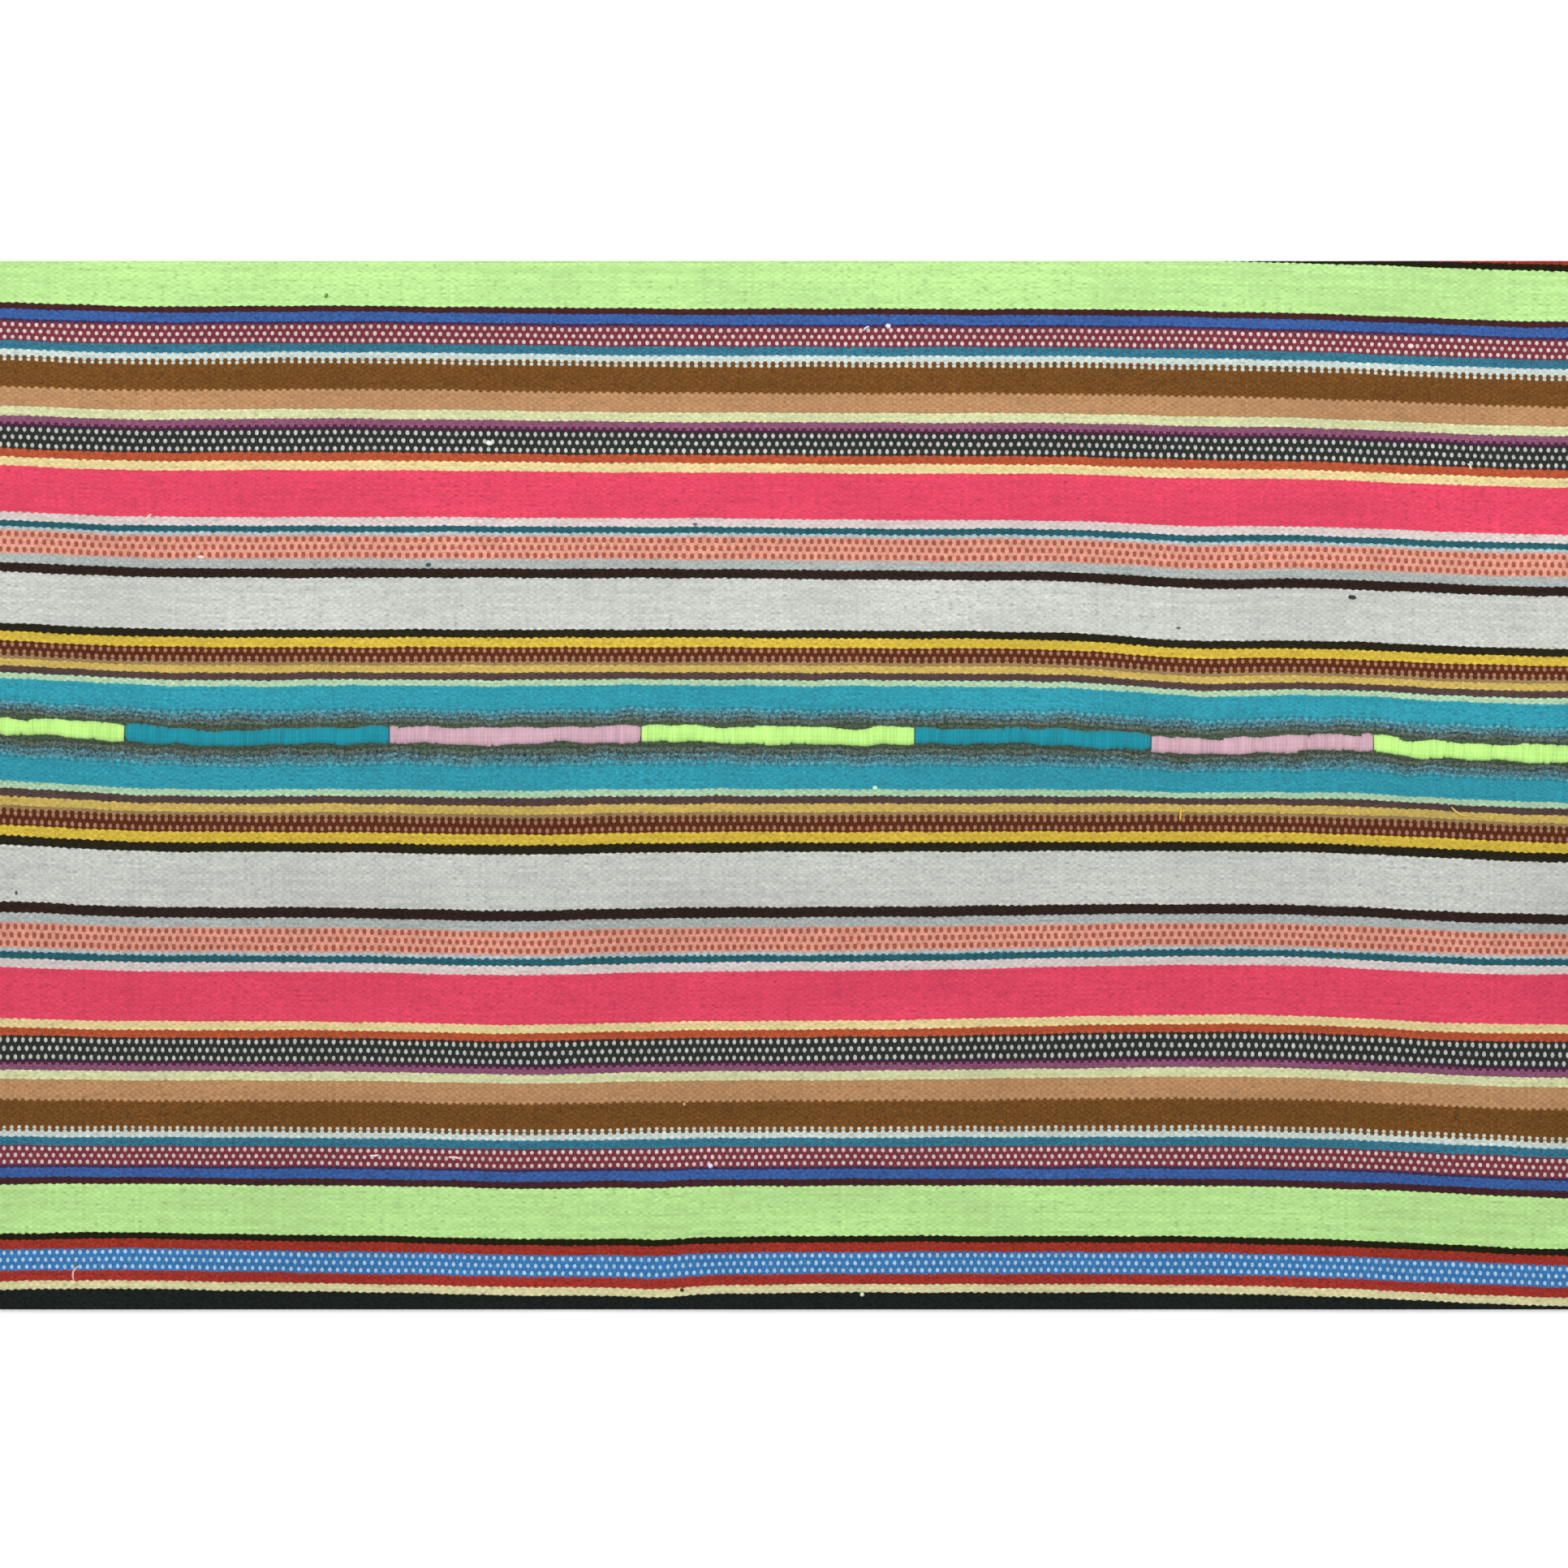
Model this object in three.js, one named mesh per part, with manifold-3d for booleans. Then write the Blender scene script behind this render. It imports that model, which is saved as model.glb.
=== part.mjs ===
// A cut length of warp-faced striped flatweave: two strips laid side by side and
// drawn together by a hand-sewn seam, whose yarn changes colour in seven runs.
// Millimetres. X runs along the warp, Y across the stripes, Z up from the resting face.

import * as THREE from 'three';
import { mergeVertices } from 'three/addons/utils/BufferGeometryUtils.js';
import loadManifold from 'manifold-3d';

// Cloth
const clothLength = 724.5;
const clothDepth = 483.4;
const clothThickness = 2.4;
const panelStep = 6;
const panelRows = 2;
const cutOverrun = 1;

// Seam: stitches cross over both selvedges, go down between them and back underneath
const yarnGap = 0.3;
const stitchPitch = 4.5;
const stitchReach = 4.2;
const stitchUnevenness = 0.35;
const unevenTurn = 2.3;
const unevenStart = 0.11;
const stitchNotch = 0.45;
const stitchEdge = 0.45;
const stitchCrown = 0.85;
const stitchDip = 0.3;
const strapRows = 4;
const webHalf = 0.7;
const webBite = 0.2;
const underStitch = 0.5;
const underReach = 3.8;
const underStep = 9;

// Where the seam runs: its distance across the cloth at each place where it turns, chosen by eye
const seamLine = [
  { along: -clothLength / 2, across: 28 },
  { along: -300, across: 24 },
  { along: -265, across: 22 },
  { along: -180, across: 23.5 },
  { along: -145, across: 22.5 },
  { along: -60, across: 24 },
  { along: 0, across: 23 },
  { along: 100, across: 22.5 },
  { along: 145, across: 21.5 },
  { along: 190, across: 18 },
  { along: 262, across: 20 },
  { along: 290, across: 17 },
  { along: clothLength / 2, across: 14 },
];

// The seam's runs of yarn, each from the end of the one before
const seamRuns = [
  { name: 'seam_lime_1', yarn: 'lime', end: -304 },
  { name: 'seam_teal_1', yarn: 'teal', end: -182 },
  { name: 'seam_pink_1', yarn: 'pink', end: -66 },
  { name: 'seam_lime_2', yarn: 'lime', end: 60 },
  { name: 'seam_teal_2', yarn: 'teal', end: 169 },
  { name: 'seam_pink_2', yarn: 'pink', end: 271.5 },
  { name: 'seam_lime_3', yarn: 'lime', end: clothLength / 2 },
];

const yarnColours = { lime: 0xc4f488, teal: 0x2194a4, pink: 0xd6acbb };
const clothColours = { far: 0xa98f7c, near: 0x9a8672 };
const woolRoughness = 0.92;
const halvings = 40;

const wasm = await loadManifold();
wasm.setup();

const seamCurve = new THREE.SplineCurve(seamLine.map((s) => new THREE.Vector2(s.along, s.across)));

// The seam's place across the cloth at a place along it, by halving the curve's parameter
function seamAt(along) {
  let low = 0;
  let high = 1;
  const point = new THREE.Vector2();
  for (let i = 0; i < halvings; i += 1) {
    const middle = (low + high) / 2;
    seamCurve.getPoint(middle, point);
    if (point.x < along) low = middle;
    else high = middle;
  }
  return point.y;
}

// A box cut into steps, each of its points moved by place(i, v, w): i counts steps along,
// v goes from -1 to 1 across, and w is -1 on the under face and 1 on the upper one
function shapedBox(alongSteps, acrossSteps, place) {
  const box = new THREE.BoxGeometry(2, 2, 2, alongSteps, acrossSteps, 1);
  box.deleteAttribute('normal');
  box.deleteAttribute('uv');
  const geometry = mergeVertices(box);
  const points = geometry.attributes.position;
  const moved = new THREE.Vector3();
  for (let n = 0; n < points.count; n += 1) {
    const step = Math.round(((points.getX(n) + 1) / 2) * alongSteps);
    place(step, points.getY(n), points.getZ(n), moved);
    points.setXYZ(n, moved.x, moved.y, moved.z);
  }
  return geometry;
}

function toSolid(geometry) {
  return new wasm.Manifold(new wasm.Mesh({
    numProp: 3,
    vertProperties: new Float32Array(geometry.attributes.position.array),
    triVerts: new Uint32Array(geometry.index.array),
  }));
}

function toGeometry(solid) {
  const mesh = solid.getMesh();
  const geometry = new THREE.BufferGeometry();
  geometry.setAttribute('position', new THREE.BufferAttribute(mesh.vertProperties, 3));
  geometry.setIndex(new THREE.BufferAttribute(mesh.triVerts, 1));
  geometry.computeVertexNormals();
  return geometry;
}

function finished(name, solid, colour) {
  const material = new THREE.MeshStandardMaterial({ color: colour, roughness: woolRoughness, metalness: 0 });
  const mesh = new THREE.Mesh(toGeometry(solid), material);
  mesh.name = name;
  return mesh;
}

// A bar that follows the seam between two places along it and two heights
function seamBar(start, end, steps, reach, low, high) {
  return toSolid(shapedBox(steps, 1, (i, v, w, out) => {
    const along = start + ((end - start) * i) / steps;
    out.set(along, seamAt(along) + v * reach, w < 0 ? low : high);
  }));
}

// One strip: straight cut edges, a selvedge that follows the seam, and the underside
// of that selvedge hollowed so that the stitches lie level with the resting face
function panel(name, side, colour) {
  const steps = Math.round(clothLength / panelStep);
  const cutEdge = (side * clothDepth) / 2;
  const sheet = shapedBox(steps, panelRows, (i, v, w, out) => {
    const along = clothLength * (i / steps - 0.5);
    const selvedge = seamAt(along) + side * (webHalf + yarnGap);
    const share = (1 + side * v) / 2;
    out.set(along, selvedge + (cutEdge - selvedge) * share, w < 0 ? 0 : clothThickness);
  });
  const past = clothLength / 2 + cutOverrun;
  const ceiling = underStitch + yarnGap;
  const hollow = seamBar(-past, past, steps, underReach + yarnGap, -cutOverrun, ceiling);
  return finished(name, toSolid(sheet).subtract(hollow), colour);
}

// One run of stitches: an uneven ribbed strap on top, a thin one underneath, and the yarn
// between the selvedges that joins them. The unevenness is a sine of the half stitch's number,
// which starts elsewhere in every run
function seamRun(name, start, end, colour) {
  const stitches = Math.round((end - start) / stitchPitch);
  const steps = 2 * stitches;
  const strapLow = clothThickness + yarnGap;
  const strap = shapedBox(steps, strapRows, (i, v, w, out) => {
    const along = start + ((end - start) * i) / steps;
    const between = i % 2 === 0;
    const shift = stitchUnevenness * Math.sin(unevenTurn * i + unevenStart * start);
    const reach = stitchReach - (between ? stitchNotch : 0) + v * shift;
    const crown = (stitchCrown - (between ? stitchDip : 0)) * (1 - v * v);
    out.set(along, seamAt(along) + v * reach, w < 0 ? strapLow : strapLow + stitchEdge + crown);
  });
  const underSteps = Math.round((end - start) / underStep);
  const under = seamBar(start, end, underSteps, underReach, 0, underStitch);
  const inset = yarnGap;
  const webLow = underStitch - webBite;
  const webHigh = strapLow + webBite;
  const web = seamBar(start + inset, end - inset, underSteps, webHalf, webLow, webHigh);
  return finished(name, toSolid(strap).add(web).add(under), colour);
}

const rug = new THREE.Group();
rug.add(panel('panel_far', 1, clothColours.far));
rug.add(panel('panel_near', -1, clothColours.near));

let runStart = -clothLength / 2;
for (const run of seamRuns) {
  const first = runStart === -clothLength / 2;
  rug.add(seamRun(run.name, first ? runStart : runStart + yarnGap, run.end, yarnColours[run.yarn]));
  runStart = run.end;
}

export default rug;
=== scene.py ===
import math

import bpy
import numpy as np
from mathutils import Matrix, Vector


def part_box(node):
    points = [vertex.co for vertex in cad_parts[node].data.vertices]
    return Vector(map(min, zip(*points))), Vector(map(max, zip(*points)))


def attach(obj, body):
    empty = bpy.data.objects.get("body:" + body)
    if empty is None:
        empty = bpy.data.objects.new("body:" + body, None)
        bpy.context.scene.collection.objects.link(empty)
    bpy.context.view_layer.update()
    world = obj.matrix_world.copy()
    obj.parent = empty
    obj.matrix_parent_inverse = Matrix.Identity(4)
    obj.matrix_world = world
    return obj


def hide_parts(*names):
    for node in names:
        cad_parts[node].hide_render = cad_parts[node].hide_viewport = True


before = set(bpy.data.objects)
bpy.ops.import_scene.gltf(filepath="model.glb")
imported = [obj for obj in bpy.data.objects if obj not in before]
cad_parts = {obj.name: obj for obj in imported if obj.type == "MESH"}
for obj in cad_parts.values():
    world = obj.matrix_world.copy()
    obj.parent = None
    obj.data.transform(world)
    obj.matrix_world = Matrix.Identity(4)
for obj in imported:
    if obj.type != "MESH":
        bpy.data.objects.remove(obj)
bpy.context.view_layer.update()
print("frame loaded:", len(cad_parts), "nodes")

mm = 0.001  # cloth sizes below are in millimetres, turned to metres as a mesh is made
farLow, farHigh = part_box("panel_far")
nearLow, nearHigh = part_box("panel_near")
clothLength = (farHigh[0] - farLow[0]) / mm
clothTop = farHigh[2] / mm
cutEdge = {1: farHigh[1] / mm, -1: -nearLow[1] / mm}  # distance of each outer cut from the middle
random = np.random.default_rng(41)


def hexLinear(code):
    # sRGB hex to linear: a straight piece near black, then a power of 2.4
    srgb = np.array([int(code[i:i + 2], 16) for i in (0, 2, 4)]) / 255
    return np.where(srgb <= 0.04045, srgb / 12.92, ((srgb + 0.055) / 1.055) ** 2.4)


def addNode(tree, kind, sockets, out=0, **settings):
    # a node with its settings; each socket, by name or in order, gets a link or a value, and one
    # output comes back
    node = tree.nodes.new("ShaderNode" + kind)
    for name, value in settings.items():
        setattr(node, name, value)
    for key, value in sockets.items() if isinstance(sockets, dict) else enumerate(sockets):
        if isinstance(value, bpy.types.NodeSocket):
            tree.links.new(value, node.inputs[key])
        else:
            node.inputs[key].default_value = value
    return node.outputs[out] if node.outputs else node


def makePiece(name, points, faceGroups, smoothCount):
    # a mesh from points in millimetres and groups of faces; the first smoothCount faces are smooth
    corners = np.concatenate([np.asarray(group).ravel() for group in faceGroups]).astype(np.int32)
    counts = np.concatenate([np.full(len(group), len(group[0])) for group in faceGroups])
    mesh = bpy.data.meshes.new(name)
    mesh.vertices.add(len(points))
    mesh.vertices.foreach_set("co", (np.asarray(points) * mm).astype(np.float32).ravel())
    mesh.loops.add(len(corners))
    mesh.loops.foreach_set("vertex_index", corners)
    mesh.polygons.add(len(counts))
    starts = np.concatenate([[0], np.cumsum(counts)[:-1]])
    mesh.polygons.foreach_set("loop_start", starts.astype(np.int32))
    mesh.polygons.foreach_set("use_smooth", np.arange(len(counts)) < smoothCount)
    mesh.update(calc_edges=True)
    mesh.validate()
    piece = bpy.data.objects.new(name, mesh)
    bpy.context.collection.objects.link(piece)
    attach(piece, "root")
    print(name, "made:", len(counts), "faces,", int((counts - 2).sum()), "triangles")
    return piece, corners, counts


def setCorners(mesh, name, kind, values):
    # a value for each face corner: one number, or a linear colour with a fourth number
    layer = mesh.attributes.new(name, kind, "CORNER")
    field = "value" if kind == "FLOAT" else "color"
    layer.data.foreach_set(field, np.asarray(values, np.float32).ravel())


def setCornerUv(mesh, name, uv):
    # two pattern numbers for each face corner
    mesh.uv_layers.new(name=name).data.foreach_set("uv", np.asarray(uv, np.float32).ravel())


def tubeFaces(count, steps, sides):
    # quads between the rings of each tube, and its first and last ring as caps
    ring = np.arange(count * steps * sides).reshape(count, steps, sides)
    turned = np.roll(ring, -1, axis=2)
    skin = np.stack([ring[:, :-1], turned[:, :-1], turned[:, 1:], ring[:, 1:]], axis=-1).reshape(-1, 4)
    return skin, ring[:, 0, ::-1], ring[:, -1]


# How each strip's stripes waver: soft swells, each with its middle along and across the cloth, its reach
# both ways and its rise
swells = {
    1: [(-375, 120, 55, 300, 3.4), (-215, 185, 105, 60, 1.9), (385, 120, 140, 400, -6.6),
        (188, 75, 42, 75, -3.0), (310, 65, 135, 70, -2.8), (70, 105, 70, 45, -0.9)],
    -1: [(-375, 0, 55, 110, 3.9), (-310, -225, 75, 45, 1.8), (-125, -85, 50, 110, -1.7),
         (390, -110, 105, 400, -6.5), (215, -97, 130, 50, 3.6), (385, -97, 60, 50, 4.6),
         (300, -235, 90, 45, -1.2), (-90, -235, 60, 60, -1.4),
         (-58, -245, 14, 60, -1.3)],
}

# The joined selvedges: the seam's place comes from the far strip's solid, whose top edge lies along it
join = {
    "straight": 23.2,        # where the seam would lie in a cloth with no waver
    "gap": 1.0,              # from the seam's middle to each selvedge
    "hold": 34.0,            # how far into a strip the seam's own bends carry
    "topSlack": 0.1,         # how near its top a point of the solid counts as on it
    "searchShare": 0.25,     # share of the strip's depth in which its selvedge is looked for
    "decimals": 2,           # the solid repeats its corners, and rounding finds each one once
}
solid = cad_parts["panel_far"].data
solidPoints = np.zeros(len(solid.vertices) * 3)
solid.vertices.foreach_get("co", solidPoints)
solidPoints = solidPoints.reshape(-1, 3) / mm
onTop = solidPoints[:, 2] > clothTop - join["topSlack"]
searchEnd = farLow[1] + join["searchShare"] * (farHigh[1] - farLow[1])
bySeam = solidPoints[:, 1] < searchEnd / mm
selvedgeLine = np.unique(np.round(solidPoints[onTop & bySeam, :2], join["decimals"]), axis=0)
print("selvedge read:", len(selvedgeLine), "points")


def seamAt(along):
    # the solid's selvedge, read at places along it, less the gap
    return np.interp(along, selvedgeLine[:, 0], selvedgeLine[:, 1]) - join["gap"]


# The two loom strips share one warp order, read from the selvedge at the seam outwards.
# A fleck is one end in every few, and a thin one shows as small dots. Swing says how far floats
# reach over their neighbours; where two stripes meet, the smaller one holds. Heather says how much
# light and dark fibre is spun together.
warpColumns = ("yarn", "farWidth", "nearWidth", "ends", "ground", "fleck", "fleckEvery", "fleckThin",
               "swing", "heather")
warpPlan = [
    # the first stripe, by the seam, is dark olive ends and also painted shadow of the stitches over the
    # selvedge
    ("dark olive, painted stitch shadow", 4.8, 5.2, 4, "4b5947", "445041", 2, 0, 0.2, 2.0),
    ("grey", 2.4, 3.0, 2, "5d6a64", "4a5a54", 2, 0, 0.25, 3.0),
    ("teal grey", 2.6, 3.4, 3, "54808a", "4e727a", 2, 0, 0.25, 2.9),
    ("dotted edge", 1.6, 1.8, 2, "47a0b2", "42808c", 2, 0.5, 0.9, 1.6),
    ("teal", 10.4, 10.7, 9, "339bae", "", 0, 0, 0.15, 0.75),
    ("mint", 2.6, 3.0, 3, "b2d4b0", "", 0, 0, 0.22, 0.8),
    ("plum", 3.4, 3.6, 3, "55423f", "", 0, 0, 0.2, 1.3),
    ("ochre", 3.4, 4.1, 3, "d1b560", "", 0, 0, 0.15, 0.7),
    ("taupe", 1.8, 1.6, 2, "987d56", "", 0, 0, 0.8, 0.8),
    ("russet", 6.4, 7.4, 6, "5b2a14", "b1836a", 3, 1.1, 1.0, 0.6),
    ("yellow", 4.5, 4.9, 4, "d7ba43", "", 0, 0, 0.2, 0.8),
    ("black", 3.6, 4.3, 4, "262113", "", 0, 0, 0.2, 2.0),
    ("off-white", 23.8, 25.5, 20, "cdd1ca", "", 0, 0, 0.15, 0.5),
    ("dark brown", 4.3, 4.9, 4, "2e1f19", "", 0, 0, 0.2, 2.0),
    ("grey", 4.3, 4.3, 4, "afb6b3", "", 0, 0, 0.15, 0.9),
    ("salmon", 10.6, 11.2, 9, "dd9a85", "a85746", 3, 0.62, 1.0, 0.8),
    ("lavender", 1.8, 2.1, 1, "b0c2c8", "", 0, 0, 0.2, 0.8),
    ("dark teal", 2.6, 3.0, 3, "275f6a", "", 0, 0, 0.2, 1.2),
    ("white", 3.9, 4.1, 4, "dccfcb", "", 0, 0, 0.2, 0.6),
    ("rose pink", 21.2, 23.1, 20, "e74965", "", 0, 0, 0.15, 0.5),
    ("cream", 4.1, 3.9, 4, "ebd79c", "", 0, 0, 0.2, 0.6),
    ("orange red", 3.9, 3.6, 3, "b85334", "", 0, 0, 0.2, 1.0),
    ("black", 10.7, 11.4, 9, "2d302d", "ccd0c8", 3, 1.15, 1.0, 0.8),
    ("dark plum", 1.2, 1.1, 1, "521f42", "", 0, 0, 1.0, 1.2),
    ("purple", 3.3, 3.0, 3, "88526e", "", 0, 0, 1.0, 1.2),
    ("pale lime", 4.3, 4.1, 4, "d8dcaa", "", 0, 0, 0.15, 0.6),
    ("tan", 9.0, 9.6, 8, "bb8d63", "", 0, 0, 0.4, 0.6),
    ("brown", 11.3, 11.1, 10, "744b20", "", 0, 0, 0.4, 1.3),
    ("white teeth", 2.8, 2.8, 3, "734a1f", "d0d6cc", 3, 0.7, 0.75, 0.8),
    ("white", 3.2, 3.0, 3, "cad7d0", "", 0, 0, 0.75, 0.6),
    ("sea blue", 4.1, 4.1, 4, "36768e", "", 0, 0, 0.2, 1.3),
    ("crimson", 9.2, 9.2, 9, "7c3440", "deccc6", 3, 0.98, 1.0, 0.6),
    ("violet", 1.1, 1.1, 1, "3c2d52", "", 0, 0, 0.25, 1.2),
    ("blue", 4.5, 4.5, 4, "3a5fa0", "", 0, 0, 0.15, 1.3),
    ("maroon", 2.8, 3.2, 3, "452326", "", 0, 0, 0.22, 1.6),
    ("lime", 23.1, 23.1, 20, "c0ec98", "", 0, 0, 0.15, 0.2),
    ("black", 3.0, 3.0, 3, "1e1b08", "", 0, 0, 0.2, 2.0),
    ("red", 4.4, 4.4, 4, "9f3326", "", 0, 0, 0.15, 1.4),
    ("sky blue", 10.1, 10.1, 9, "3a79b4", "b2d6f4", 3, 1.08, 1.0, 0.6),
    ("red", 4.8, 4.8, 4, "a3332a", "", 0, 0, 0.15, 1.4),
    ("pale lime", 3.8, 3.8, 3, "ded9a5", "", 0, 0, 0.15, 0.6),
    ("black", 10.2, 10.2, 9, "181d1c", "", 0, 0, 0.15, 2.0),
]

# The weave: one mesh point on every crossing of an end and a pick. Waves are given as the mm, along or
# along and across, to one radian
weave = {
    "picks": {1: 400, -1: 414},        # about 1.8 mm apart
    "firstPick": {1: 0, -1: 1200},     # the strips are numbered apart, so that no flaw repeats
    "pickDrift": {1: 4.0, -1: -1.0},   # mm by which the picks crowd towards one end
    "pickUneven": 0.9,                 # mm of slow wander in how hard they were beaten up
    "pickWander": 21,
    "tone": {1: 0.93, -1: 0.84},       # every dye is scaled down, the near strip's more: painted shade for light that falls off towards the near strip
    "relief": 0.34,          # height of a float over the pit beside it
    "cockle": 0.22,          # slow rise and fall of the cloth
    "cockleWaves": ((31, 57), (-83, 23)),
    "seamDraw": 0.55,        # how far the stitches pull the selvedge down
    "seamDrawReach": 9.0,
    "hollowReach": 4.6,      # underside of the selvedge that clears the stitches
    "hollowHeight": 0.8,
    "underEvery": 29,        # picks to one step of the plain underside
    "stray": 0.16,           # mm that single ends lie off the wave
    "strayWaves": ((13, 6.1), (41, -17), (5.7, -3.3)),
    "strayShort": 0.45,      # share of the last and shortest wave, which bends across the ends
    "strayBend": 9,
    "strayFrom": 12,         # mm from the seam at which ends stray freely
    "stitchPull": 0.6,       # mm that the stitches draw the selvedge's ends in and out
    "stitchPullReach": 7.0,
    "stitchWaves": (5.3, 17, 2.9),
    "stitchShort": 0.5,      # share of the shortest wave
}


def warpEnds(side):
    # every end's width, colour with its thinness as fourth number, swing and heather, in warp order
    widths, colours, swings, heathers = [], [], [], []
    for stripe in warpPlan:
        row = dict(zip(warpColumns, stripe))
        ends, every = row["ends"], row["fleckEvery"]
        width = row["farWidth"] if side > 0 else row["nearWidth"]
        widths += [width / ends] * ends
        swings += [row["swing"]] * ends
        heathers += [row["heather"]] * ends
        for end in range(ends):
            isFleck = every > 0 and end % every == every // 2
            # the strip's tone darkens its dyes: painted shade, deeper on the near strip
            dye = hexLinear(row["fleck"] if isFleck else row["ground"]) * weave["tone"][side]
            colours.append((*dye, row["fleckThin"] if isFleck else 0))
    return np.array(widths), np.array(colours), np.array(swings), np.array(heathers)


def stripShift(side, along, across):
    # a sum of bell curves along and across, which gives way to the seam's own bends near the selvedge;
    # crossed sines make single ends stray, and by the seam the stitches pull them in and out
    middleAlong, middleAcross, reachAlong, reachAcross, rise = np.array(swells[side], float).T
    bellAlong = np.exp(-(((along[:, None] - middleAlong) / reachAlong) ** 2))
    bellAcross = np.exp(-(((across[:, None] - middleAcross) / reachAcross) ** 2))
    fromSeam = np.abs(across - join["straight"])
    hold = np.clip(1 - fromSeam / join["hold"], 0, 1)
    shift = (bellAlong * rise) @ bellAcross.T * (1 - hold)
    shift = shift + (seamAt(along) - join["straight"])[:, None] * hold
    x = along[:, None]
    (midAlong, midAcross), (slowAlong, slowAcross), (shortAlong, shortAcross) = weave["strayWaves"]
    bend = 2 * np.sin(across / weave["strayBend"])
    stray = np.sin(x / midAlong + across / midAcross) * np.sin(x / slowAlong + across / slowAcross)
    stray = stray + weave["strayShort"] * np.sin(x / shortAlong + across / shortAcross + bend)
    stray = stray * np.clip(fromSeam / weave["strayFrom"], 0, 1)
    near = fromSeam / weave["stitchPullReach"]
    mid, slow, short = weave["stitchWaves"]
    pull = np.sin(x / mid + 2 * side) * np.sin(x / slow)
    pull = pull + weave["stitchShort"] * np.sin(x / short + side)
    pull = pull * near * np.exp(1 - near)
    return shift + weave["stray"] * stray + weave["stitchPull"] * pull


def onStrip(along, rest):
    # places across the cloth: each rest place plus its own strip's shift there
    side = np.where(rest > join["straight"], 1, -1)
    shift = [stripShift(s, np.array([x]), np.array([y]))[0, 0] for s, x, y in zip(side, along, rest)]
    return rest + np.array(shift)


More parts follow.
